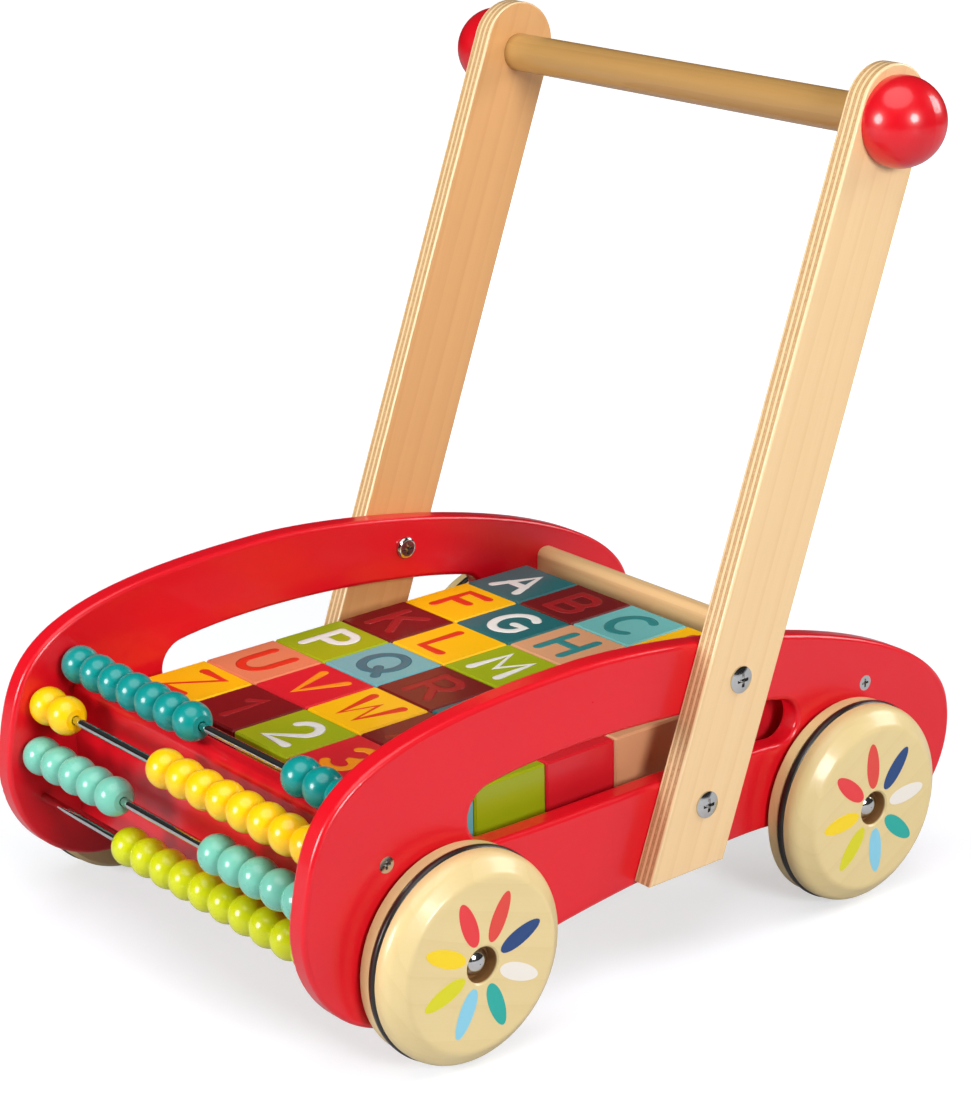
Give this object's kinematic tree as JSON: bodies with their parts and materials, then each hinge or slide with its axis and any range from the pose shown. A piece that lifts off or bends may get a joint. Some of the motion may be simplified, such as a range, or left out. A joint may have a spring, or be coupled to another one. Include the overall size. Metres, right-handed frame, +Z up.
{
  "type": "wooden push walker",
  "caption": "Wooden push walker: arched red side panels, leaning plywood handle, tray of alphabet blocks, bead frame at the nose and disc wheels with rubber rings.",
  "frame": {"origin": "on the ground under the middle of the walker's overall box", "axes": "+X to the walker's right-hand side, -Y to the bead end, +Y to the handle end, +Z up"},
  "size_m": [0.338, 0.4207, 0.4242],
  "materials": {
    "red_lacquer": "gloss paint on wood",
    "clear_pine": "clear varnish",
    "plywood": "clear varnish on birch plywood",
    "wheel_wood": "clear varnish",
    "rubber_ring": "matt",
    "steel_rod": "polished",
    "fastener": "polished",
    "bead_teal": "gloss paint",
    "bead_yellow": "gloss paint",
    "bead_mint": "gloss paint",
    "bead_lime": "gloss paint",
    "block_petrol": "satin paint",
    "block_maroon": "satin paint",
    "block_aqua": "satin paint",
    "block_yellow": "satin paint",
    "block_red": "satin paint",
    "block_tan": "satin paint",
    "block_lime": "satin paint",
    "block_blue": "satin paint",
    "block_salmon": "satin paint"
  },
  "bodies": {
    "frame": {"side_panel_left": "red_lacquer", "side_panel_right": "red_lacquer", "front_board": "red_lacquer", "rear_board": "clear_pine", "base_board": "clear_pine", "handle_upright_left": "plywood", "handle_upright_right": "plywood", "handle_bar": "clear_pine", "handle_balls": "red_lacquer", "axles": "steel_rod", "axle_caps": "fastener", "handle_bolts": "fastener", "handle_nuts": "fastener", "panel_screws": "fastener", "bead_rods": "steel_rod"},
    "wheel_body_front_left": {"wheel_front_left": "wheel_wood", "tyre_ring_front_left": "rubber_ring"},
    "wheel_body_front_right": {"wheel_front_right": "wheel_wood", "tyre_ring_front_right": "rubber_ring"},
    "wheel_body_rear_left": {"wheel_rear_left": "wheel_wood", "tyre_ring_rear_left": "rubber_ring"},
    "wheel_body_rear_right": {"wheel_rear_right": "wheel_wood", "tyre_ring_rear_right": "rubber_ring"},
    "bead_group_teal_left": {"beads_teal_left": "bead_teal"},
    "bead_group_teal_right": {"beads_teal_right": "bead_teal"},
    "bead_group_yellow_left": {"beads_yellow_left": "bead_yellow"},
    "bead_group_yellow_right": {"beads_yellow_right": "bead_yellow"},
    "bead_group_mint_left": {"beads_mint_left": "bead_mint"},
    "bead_group_mint_right": {"beads_mint_right": "bead_mint"},
    "bead_group_lime_right": {"beads_lime_right": "bead_lime"},
    "block_body_A": {"block_A": "block_petrol"},
    "block_body_B": {"block_B": "block_maroon"},
    "block_body_C": {"block_C": "block_aqua"},
    "block_body_D": {"block_D": "block_yellow"},
    "block_body_E": {"block_E": "block_red"},
    "block_body_F": {"block_F": "block_yellow"},
    "block_body_G": {"block_G": "block_petrol"},
    "block_body_H": {"block_H": "block_tan"},
    "block_body_I": {"block_I": "block_yellow"},
    "block_body_J": {"block_J": "block_aqua"},
    "block_body_K": {"block_K": "block_maroon"},
    "block_body_L": {"block_L": "block_yellow"},
    "block_body_M": {"block_M": "block_lime"},
    "block_body_N": {"block_N": "block_yellow"},
    "block_body_O": {"block_O": "block_tan"},
    "block_body_P": {"block_P": "block_lime"},
    "block_body_Q": {"block_Q": "block_blue"},
    "block_body_R": {"block_R": "block_maroon"},
    "block_body_S": {"block_S": "block_petrol"},
    "block_body_T": {"block_T": "block_red"},
    "block_body_U": {"block_U": "block_salmon"},
    "block_body_V": {"block_V": "block_red"},
    "block_body_W": {"block_W": "block_yellow"},
    "block_body_X": {"block_X": "block_maroon"},
    "block_body_Y": {"block_Y": "block_lime"},
    "block_body_Z": {"block_Z": "block_yellow"},
    "block_body_1": {"block_1": "block_maroon"},
    "block_body_2": {"block_2": "block_lime"},
    "block_body_3": {"block_3": "block_red"},
    "block_body_4": {"block_4": "block_blue"}
  },
  "joints": [
    {"name": "wheel_spin_front_left", "type": "hinge", "parent": "frame", "child": "wheel_body_front_left", "pos_m": [-0.1438, -0.1303, 0.0524], "axis": [1, 0, 0], "continuous": true},
    {"name": "wheel_spin_front_right", "type": "hinge", "parent": "frame", "child": "wheel_body_front_right", "pos_m": [0.1438, -0.1303, 0.0524], "axis": [1, 0, 0], "continuous": true},
    {"name": "wheel_spin_rear_left", "type": "hinge", "parent": "frame", "child": "wheel_body_rear_left", "pos_m": [-0.1438, 0.1258, 0.0524], "axis": [1, 0, 0], "continuous": true},
    {"name": "wheel_spin_rear_right", "type": "hinge", "parent": "frame", "child": "wheel_body_rear_right", "pos_m": [0.1438, 0.1258, 0.0524], "axis": [1, 0, 0], "continuous": true},
    {"name": "beads_slide_teal_left", "type": "slide", "parent": "frame", "child": "bead_group_teal_left", "axis": [1, 0, 0], "range_m": [0, 0.071]},
    {"name": "beads_slide_teal_right", "type": "slide", "parent": "frame", "child": "bead_group_teal_right", "axis": [1, 0, 0], "range_m": [-0.071, 0]},
    {"name": "beads_slide_yellow_left", "type": "slide", "parent": "frame", "child": "bead_group_yellow_left", "axis": [1, 0, 0], "range_m": [0, 0.071]},
    {"name": "beads_slide_yellow_right", "type": "slide", "parent": "frame", "child": "bead_group_yellow_right", "axis": [1, 0, 0], "range_m": [-0.071, 0]},
    {"name": "beads_slide_mint_left", "type": "slide", "parent": "frame", "child": "bead_group_mint_left", "axis": [1, 0, 0], "range_m": [0, 0.071]},
    {"name": "beads_slide_mint_right", "type": "slide", "parent": "frame", "child": "bead_group_mint_right", "axis": [1, 0, 0], "range_m": [-0.071, 0]},
    {"name": "beads_slide_lime_right", "type": "slide", "parent": "frame", "child": "bead_group_lime_right", "axis": [1, 0, 0], "range_m": [-0.071, 0]},
    {"name": "block_lift_A", "type": "slide", "parent": "frame", "child": "block_body_A", "axis": [0, 0, 1], "range_m": [0, 0.07]},
    {"name": "block_lift_B", "type": "slide", "parent": "frame", "child": "block_body_B", "axis": [0, 0, 1], "range_m": [0, 0.07]},
    {"name": "block_lift_C", "type": "slide", "parent": "frame", "child": "block_body_C", "axis": [0, 0, 1], "range_m": [0, 0.07]},
    {"name": "block_lift_D", "type": "slide", "parent": "frame", "child": "block_body_D", "axis": [0, 0, 1], "range_m": [0, 0.07]},
    {"name": "block_lift_E", "type": "slide", "parent": "frame", "child": "block_body_E", "axis": [0, 0, 1], "range_m": [0, 0.07]},
    {"name": "block_lift_F", "type": "slide", "parent": "frame", "child": "block_body_F", "axis": [0, 0, 1], "range_m": [0, 0.07]},
    {"name": "block_lift_G", "type": "slide", "parent": "frame", "child": "block_body_G", "axis": [0, 0, 1], "range_m": [0, 0.07]},
    {"name": "block_lift_H", "type": "slide", "parent": "frame", "child": "block_body_H", "axis": [0, 0, 1], "range_m": [0, 0.07]},
    {"name": "block_lift_I", "type": "slide", "parent": "frame", "child": "block_body_I", "axis": [0, 0, 1], "range_m": [0, 0.07]},
    {"name": "block_lift_J", "type": "slide", "parent": "frame", "child": "block_body_J", "axis": [0, 0, 1], "range_m": [0, 0.07]},
    {"name": "block_lift_K", "type": "slide", "parent": "frame", "child": "block_body_K", "axis": [0, 0, 1], "range_m": [0, 0.07]},
    {"name": "block_lift_L", "type": "slide", "parent": "frame", "child": "block_body_L", "axis": [0, 0, 1], "range_m": [0, 0.07]},
    {"name": "block_lift_M", "type": "slide", "parent": "frame", "child": "block_body_M", "axis": [0, 0, 1], "range_m": [0, 0.07]},
    {"name": "block_lift_N", "type": "slide", "parent": "frame", "child": "block_body_N", "axis": [0, 0, 1], "range_m": [0, 0.07]},
    {"name": "block_lift_O", "type": "slide", "parent": "frame", "child": "block_body_O", "axis": [0, 0, 1], "range_m": [0, 0.07]},
    {"name": "block_lift_P", "type": "slide", "parent": "frame", "child": "block_body_P", "axis": [0, 0, 1], "range_m": [0, 0.07]},
    {"name": "block_lift_Q", "type": "slide", "parent": "frame", "child": "block_body_Q", "axis": [0, 0, 1], "range_m": [0, 0.07]},
    {"name": "block_lift_R", "type": "slide", "parent": "frame", "child": "block_body_R", "axis": [0, 0, 1], "range_m": [0, 0.07]},
    {"name": "block_lift_S", "type": "slide", "parent": "frame", "child": "block_body_S", "axis": [0, 0, 1], "range_m": [0, 0.07]},
    {"name": "block_lift_T", "type": "slide", "parent": "frame", "child": "block_body_T", "axis": [0, 0, 1], "range_m": [0, 0.07]},
    {"name": "block_lift_U", "type": "slide", "parent": "frame", "child": "block_body_U", "axis": [0, 0, 1], "range_m": [0, 0.07]},
    {"name": "block_lift_V", "type": "slide", "parent": "frame", "child": "block_body_V", "axis": [0, 0, 1], "range_m": [0, 0.07]},
    {"name": "block_lift_W", "type": "slide", "parent": "frame", "child": "block_body_W", "axis": [0, 0, 1], "range_m": [0, 0.07]},
    {"name": "block_lift_X", "type": "slide", "parent": "frame", "child": "block_body_X", "axis": [0, 0, 1], "range_m": [0, 0.07]},
    {"name": "block_lift_Y", "type": "slide", "parent": "frame", "child": "block_body_Y", "axis": [0, 0, 1], "range_m": [0, 0.07]},
    {"name": "block_lift_Z", "type": "slide", "parent": "frame", "child": "block_body_Z", "axis": [0, 0, 1], "range_m": [0, 0.07]},
    {"name": "block_lift_1", "type": "slide", "parent": "frame", "child": "block_body_1", "axis": [0, 0, 1], "range_m": [0, 0.07]},
    {"name": "block_lift_2", "type": "slide", "parent": "frame", "child": "block_body_2", "axis": [0, 0, 1], "range_m": [0, 0.07]},
    {"name": "block_lift_3", "type": "slide", "parent": "frame", "child": "block_body_3", "axis": [0, 0, 1], "range_m": [0, 0.07]},
    {"name": "block_lift_4", "type": "slide", "parent": "frame", "child": "block_body_4", "axis": [0, 0, 1], "range_m": [0, 0.07]}
  ]
}
